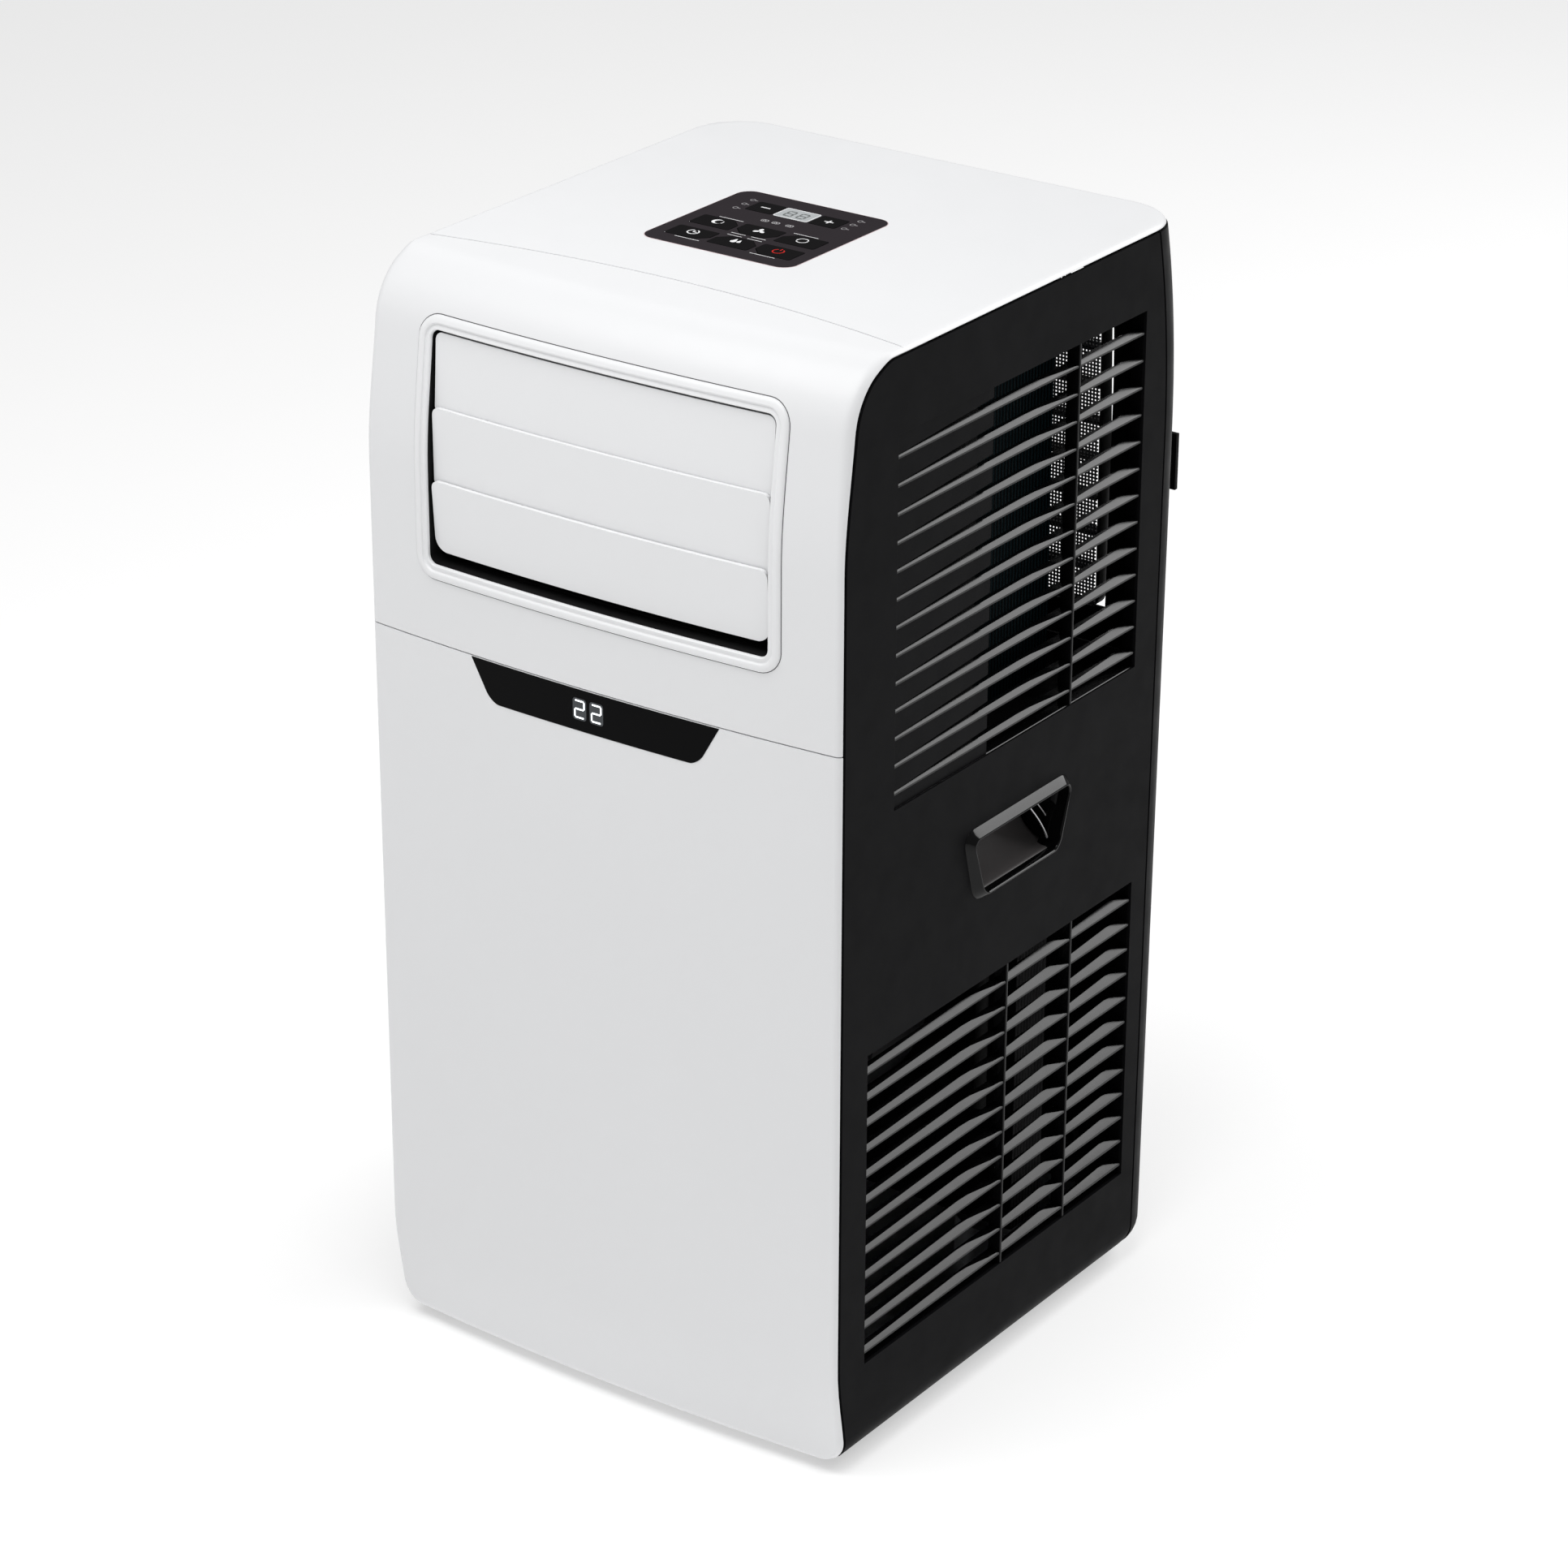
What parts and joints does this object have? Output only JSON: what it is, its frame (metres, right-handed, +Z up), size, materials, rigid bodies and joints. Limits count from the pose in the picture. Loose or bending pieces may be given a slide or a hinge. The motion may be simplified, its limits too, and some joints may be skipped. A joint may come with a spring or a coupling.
{
  "type": "portable air conditioner",
  "caption": "Tall portable air conditioner on swivel casters: flapped front outlet, side grilles with grab handles, top keypad, rear filter and round exhaust port.",
  "frame": {"origin": "on the floor under the middle of the bounding box", "axes": "+Z up, front faces -Y, +X to the right when looking at the front"},
  "size_m": [0.355, 0.4032, 0.7114],
  "materials": {
    "white_shell": "satin moulded, fine grain",
    "black_panel": "satin black, fine grain",
    "dark_duct": "matt black",
    "gloss_black": "gloss",
    "overlay_grey": "dark grey printed film",
    "display_glass": "light grey display",
    "circuit_board": "green laminate",
    "galvanised_pan": "galvanised sheet",
    "tray_plastic": "moulded",
    "zinc_steel": "zinc plated",
    "caster_tread": "hard tread",
    "filter_net": "woven net",
    "compressor_paint": "black enamel",
    "foot_rubber": "soft rubber",
    "coil_fins": "coated fins",
    "copper_pipe": "drawn copper"
  },
  "bodies": {
    "cabinet": {"upper_front_panel": "white_shell", "lower_front_panel": "white_shell", "top_cover": "white_shell", "rear_cover": "black_panel", "side_panel_right": "black_panel", "side_panel_left": "black_panel", "handle_cup_right": "gloss_black", "handle_cup_left": "gloss_black", "base_pan": "galvanised_pan", "deck": "tray_plastic", "outlet_frame": "white_shell", "outlet_duct": "dark_duct", "swing_motor": "zinc_steel", "display_window": "gloss_black", "display_board": "circuit_board", "control_overlay": "overlay_grey", "lcd_window": "display_glass", "control_board": "circuit_board", "exhaust_collar": "black_panel", "cord_hooks": "black_panel", "cord_gland": "black_panel", "compressor": "compressor_paint", "compressor_feet": "foot_rubber", "condenser": "coil_fins", "evaporator": "coil_fins", "blower_housing": "dark_duct", "fan_housing": "dark_duct", "blower_motor": "zinc_steel", "fan_motor": "zinc_steel", "pipework": "copper_pipe", "electrics_box": "galvanised_pan", "cover_screws": "zinc_steel"},
    "flap_top": {"flap_top": "white_shell"},
    "flap_middle": {"flap_middle": "white_shell"},
    "flap_bottom": {"flap_bottom": "white_shell"},
    "vane_1": {"vane_1": "dark_duct"},
    "vane_2": {"vane_2": "dark_duct"},
    "vane_3": {"vane_3": "dark_duct"},
    "vane_4": {"vane_4": "dark_duct"},
    "key_minus": {"key_minus": "gloss_black"},
    "key_plus": {"key_plus": "gloss_black"},
    "key_sleep": {"key_sleep": "gloss_black"},
    "key_speed": {"key_speed": "gloss_black"},
    "key_mode": {"key_mode": "gloss_black"},
    "key_timer": {"key_timer": "gloss_black"},
    "key_dry": {"key_dry": "gloss_black"},
    "key_power": {"key_power": "gloss_black"},
    "caster_fork_fl": {"caster_fork_fl": "zinc_steel"},
    "caster_fork_fr": {"caster_fork_fr": "zinc_steel"},
    "caster_fork_rl": {"caster_fork_rl": "zinc_steel"},
    "caster_fork_rr": {"caster_fork_rr": "zinc_steel"},
    "caster_wheel_fl": {"caster_wheel_fl": "caster_tread"},
    "caster_wheel_fr": {"caster_wheel_fr": "caster_tread"},
    "caster_wheel_rl": {"caster_wheel_rl": "caster_tread"},
    "caster_wheel_rr": {"caster_wheel_rr": "caster_tread"},
    "drain_plug": {"drain_plug": "black_panel"},
    "blower_wheel": {"blower_wheel": "dark_duct"},
    "fan_wheel": {"fan_wheel": "dark_duct"},
    "filter": {"filter_frame": "black_panel", "filter_mesh": "filter_net"}
  },
  "joints": [
    {"name": "flap_top_tilt", "type": "hinge", "parent": "cabinet", "child": "flap_top", "pos_m": [0, -0.17514, 0.65254], "axis": [1, 0, 0], "range_deg": [0, 60]},
    {"name": "flap_middle_tilt", "type": "hinge", "parent": "cabinet", "child": "flap_middle", "pos_m": [0, -0.18005, 0.60753], "axis": [1, 0, 0], "range_deg": [0, 60]},
    {"name": "flap_bottom_tilt", "type": "hinge", "parent": "cabinet", "child": "flap_bottom", "pos_m": [0, -0.1806, 0.56251], "axis": [1, 0, 0], "range_deg": [0, 60]},
    {"name": "vane_1_swing", "type": "hinge", "parent": "cabinet", "child": "vane_1", "pos_m": [-0.09249, -0.1383, 0.60478], "axis": [0, 0, 1], "range_deg": [-30, 30]},
    {"name": "vane_2_swing", "type": "hinge", "parent": "cabinet", "child": "vane_2", "pos_m": [-0.03083, -0.1383, 0.60478], "axis": [0, 0, 1], "range_deg": [-30, 30]},
    {"name": "vane_3_swing", "type": "hinge", "parent": "cabinet", "child": "vane_3", "pos_m": [0.03083, -0.1383, 0.60478], "axis": [0, 0, 1], "range_deg": [-30, 30]},
    {"name": "vane_4_swing", "type": "hinge", "parent": "cabinet", "child": "vane_4", "pos_m": [0.09249, -0.1383, 0.60478], "axis": [0, 0, 1], "range_deg": [-30, 30]},
    {"name": "key_minus_press", "type": "slide", "parent": "cabinet", "child": "key_minus", "axis": [0, 0, -1], "range_m": [0, 0.0006], "stiffness_N_per_m": 800, "springref_m": -0.0004},
    {"name": "key_plus_press", "type": "slide", "parent": "cabinet", "child": "key_plus", "axis": [0, 0, -1], "range_m": [0, 0.0006], "stiffness_N_per_m": 800, "springref_m": -0.0004},
    {"name": "key_sleep_press", "type": "slide", "parent": "cabinet", "child": "key_sleep", "axis": [0, 0, -1], "range_m": [0, 0.0006], "stiffness_N_per_m": 800, "springref_m": -0.0004},
    {"name": "key_speed_press", "type": "slide", "parent": "cabinet", "child": "key_speed", "axis": [0, 0, -1], "range_m": [0, 0.0006], "stiffness_N_per_m": 800, "springref_m": -0.0004},
    {"name": "key_mode_press", "type": "slide", "parent": "cabinet", "child": "key_mode", "axis": [0, 0, -1], "range_m": [0, 0.0006], "stiffness_N_per_m": 800, "springref_m": -0.0004},
    {"name": "key_timer_press", "type": "slide", "parent": "cabinet", "child": "key_timer", "axis": [0, 0, -1], "range_m": [0, 0.0006], "stiffness_N_per_m": 800, "springref_m": -0.0004},
    {"name": "key_dry_press", "type": "slide", "parent": "cabinet", "child": "key_dry", "axis": [0, 0, -1], "range_m": [0, 0.0006], "stiffness_N_per_m": 800, "springref_m": -0.0004},
    {"name": "key_power_press", "type": "slide", "parent": "cabinet", "child": "key_power", "axis": [0, 0, -1], "range_m": [0, 0.0006], "stiffness_N_per_m": 800, "springref_m": -0.0004},
    {"name": "caster_fl_swivel", "type": "hinge", "parent": "cabinet", "child": "caster_fork_fl", "pos_m": [-0.11078, -0.12708, 0.04], "axis": [0, 0, 1], "continuous": true},
    {"name": "caster_fl_roll", "type": "hinge", "parent": "caster_fork_fl", "child": "caster_wheel_fl", "pos_m": [-0.11078, -0.11828, 0.016], "axis": [1, 0, 0], "continuous": true},
    {"name": "caster_fr_swivel", "type": "hinge", "parent": "cabinet", "child": "caster_fork_fr", "pos_m": [0.11078, -0.12708, 0.04], "axis": [0, 0, 1], "continuous": true},
    {"name": "caster_fr_roll", "type": "hinge", "parent": "caster_fork_fr", "child": "caster_wheel_fr", "pos_m": [0.11078, -0.11828, 0.016], "axis": [1, 0, 0], "continuous": true},
    {"name": "caster_rl_swivel", "type": "hinge", "parent": "cabinet", "child": "caster_fork_rl", "pos_m": [-0.11078, 0.08787, 0.04], "axis": [0, 0, 1], "continuous": true},
    {"name": "caster_rl_roll", "type": "hinge", "parent": "caster_fork_rl", "child": "caster_wheel_rl", "pos_m": [-0.11078, 0.09667, 0.016], "axis": [1, 0, 0], "continuous": true},
    {"name": "caster_rr_swivel", "type": "hinge", "parent": "cabinet", "child": "caster_fork_rr", "pos_m": [0.11078, 0.08787, 0.04], "axis": [0, 0, 1], "continuous": true},
    {"name": "caster_rr_roll", "type": "hinge", "parent": "caster_fork_rr", "child": "caster_wheel_rr", "pos_m": [0.11078, 0.09667, 0.016], "axis": [1, 0, 0], "continuous": true},
    {"name": "blower_spin", "type": "hinge", "parent": "cabinet", "child": "blower_wheel", "pos_m": [0, -0.0473, 0.53163], "axis": [0, 1, 0], "continuous": true},
    {"name": "fan_spin", "type": "hinge", "parent": "cabinet", "child": "fan_wheel", "pos_m": [0, -0.0007, 0.2189], "axis": [0, 1, 0], "continuous": true},
    {"name": "drain_plug_pull", "type": "slide", "parent": "cabinet", "child": "drain_plug", "axis": [0, 1, 0], "range_m": [0, 0.03]},
    {"name": "filter_pull", "type": "slide", "parent": "cabinet", "child": "filter", "axis": [0, 1, 0], "range_m": [0, 0.06]}
  ],
  "couplings": [
    {"joint": "flap_middle_tilt", "follows": "flap_top_tilt", "ratio": 1},
    {"joint": "flap_bottom_tilt", "follows": "flap_top_tilt", "ratio": 1},
    {"joint": "vane_2_swing", "follows": "vane_1_swing", "ratio": 1},
    {"joint": "vane_3_swing", "follows": "vane_1_swing", "ratio": 1},
    {"joint": "vane_4_swing", "follows": "vane_1_swing", "ratio": 1}
  ]
}
